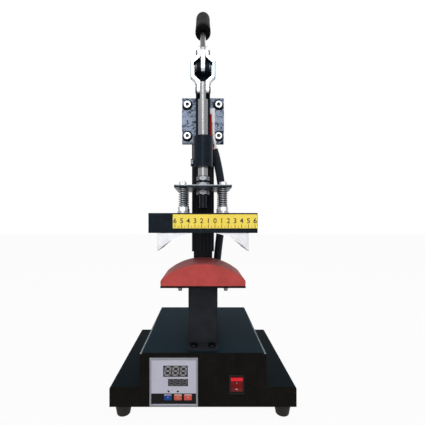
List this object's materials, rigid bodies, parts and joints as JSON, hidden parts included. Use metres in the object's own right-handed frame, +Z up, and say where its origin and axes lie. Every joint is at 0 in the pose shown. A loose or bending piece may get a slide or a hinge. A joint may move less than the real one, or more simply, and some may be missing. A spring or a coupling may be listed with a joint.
{
  "type": "cap heat press",
  "caption": "Swing-handle heat press for caps: a toggle clamp lowers a sprung, curved heated platen onto a curved silicone pad above a stepped base with a temperature controller.",
  "frame": {"origin": "on the table under the feet, in the middle of the base's width and depth", "axes": "+X to the right of someone facing the controller, +Y away from them towards the rear panel, +Z up"},
  "size_m": [0.28, 0.238, 0.7173],
  "materials": {
    "black_paint": "satin black paint",
    "cover_paint": "gloss black paint",
    "grey_steel": "bare steel",
    "zinc_steel": "bright zinc plate",
    "dark_steel": "blackened spring steel",
    "chrome": "polished",
    "casting": "dark hammered coating",
    "aluminium": "machined",
    "bronze": "turned",
    "red_silicone": "matt silicone sponge",
    "black_rubber": "matt",
    "black_plastic": "matt",
    "sleeve": "braided sleeve",
    "white_plastic": "gloss",
    "red_plastic": "gloss",
    "orange_plastic": "gloss",
    "blue_plastic": "gloss",
    "bezel": "satin panel",
    "display": "dark window",
    "board": "lacquer",
    "insulation": "fibre board",
    "yellow_strip": "satin"
  },
  "bodies": {
    "frame": {"base_shell": "black_paint", "rear_panel": "black_paint", "bottom_plate": "black_paint", "panel_screws": "zinc_steel", "rubber_feet": "black_rubber", "platen_post": "black_paint", "foot_plate_bolts": "zinc_steel", "pad_plate": "grey_steel", "pad_bolts": "zinc_steel", "silicone_pad": "red_silicone", "column_post": "black_paint", "column_tube": "black_paint", "column_cap": "black_plastic", "clamp_mount_plate": "black_paint", "clamp_casting": "casting", "guide_bushes": "bronze", "flange_screws": "zinc_steel", "guide_lock_screw": "dark_steel", "pivot_pin": "dark_steel", "close_switch": "white_plastic", "switch_wire_red": "red_plastic", "switch_wire_white": "white_plastic", "lead_sleeve": "sleeve", "lead_grommet": "black_plastic", "controller_bezel": "bezel", "controller_case": "black_plastic", "display_large": "display", "display_small": "display", "indicator_lamps": "display", "control_board": "board", "rocker_frame": "black_plastic", "mains_inlet": "black_plastic", "fuse_holder": "black_plastic", "power_relay": "black_plastic"},
    "handle": {"handle_lever": "zinc_steel", "handle_grip": "black_rubber"},
    "links": {"toggle_link_left": "zinc_steel", "toggle_link_right": "zinc_steel", "link_pin": "dark_steel", "link_end_pins": "dark_steel"},
    "ram": {"plunger": "chrome", "pin_bush": "bronze", "ram_stud": "zinc_steel", "ram_nuts": "zinc_steel", "spring_plate": "grey_steel", "guide_springs": "dark_steel"},
    "platen": {"platen_cover": "cover_paint", "heating_block": "aluminium", "heater_element": "grey_steel", "insulation_pad": "insulation", "thermocouple": "grey_steel", "guide_studs": "chrome", "stud_nuts": "zinc_steel", "stud_washers": "zinc_steel", "scale_strip": "yellow_strip", "heater_gland": "black_plastic"},
    "rocker": {"rocker": "red_plastic"},
    "button_set": {"button_set": "blue_plastic"},
    "button_down": {"button_down": "orange_plastic"},
    "button_up": {"button_up": "red_plastic"}
  },
  "joints": [
    {"name": "handle_swing", "type": "hinge", "parent": "frame", "child": "handle", "pos_m": [0, -0.071, 0.55], "axis": [1, 0, 0], "range_deg": [0, 180]},
    {"name": "link_swing", "type": "hinge", "parent": "handle", "child": "links", "pos_m": [0, -0.071, 0.573], "axis": [1, 0, 0], "range_deg": [-180, 0]},
    {"name": "ram_slide", "type": "slide", "parent": "frame", "child": "ram", "axis": [0, 0, -1], "range_m": [0, 0.046]},
    {"name": "platen_float", "type": "slide", "parent": "ram", "child": "platen", "axis": [0, 0, 1], "range_m": [0, 0.007], "stiffness_N_per_m": 64000, "springref_m": -0.002, "deforming": ["guide_springs"]},
    {"name": "rocker_tilt", "type": "hinge", "parent": "frame", "child": "rocker", "pos_m": [0.0502, -0.112, 0.0545], "axis": [-1, 0, 0], "range_deg": [0, 14]},
    {"name": "button_set_push", "type": "slide", "parent": "frame", "child": "button_set", "axis": [0, 1, 0], "range_m": [0, 0.0008], "stiffness_N_per_m": 200, "springref_m": -0.0005},
    {"name": "button_down_push", "type": "slide", "parent": "frame", "child": "button_down", "axis": [0, 1, 0], "range_m": [0, 0.0008], "stiffness_N_per_m": 200, "springref_m": -0.0005},
    {"name": "button_up_push", "type": "slide", "parent": "frame", "child": "button_up", "axis": [0, 1, 0], "range_m": [0, 0.0008], "stiffness_N_per_m": 200, "springref_m": -0.0005}
  ],
  "couplings": [
    {"joint": "link_swing", "follows": "handle_swing", "ratio": -1},
    {"joint": "ram_slide", "follows": "handle_swing", "m_per_rad": 0.01464}
  ]
}
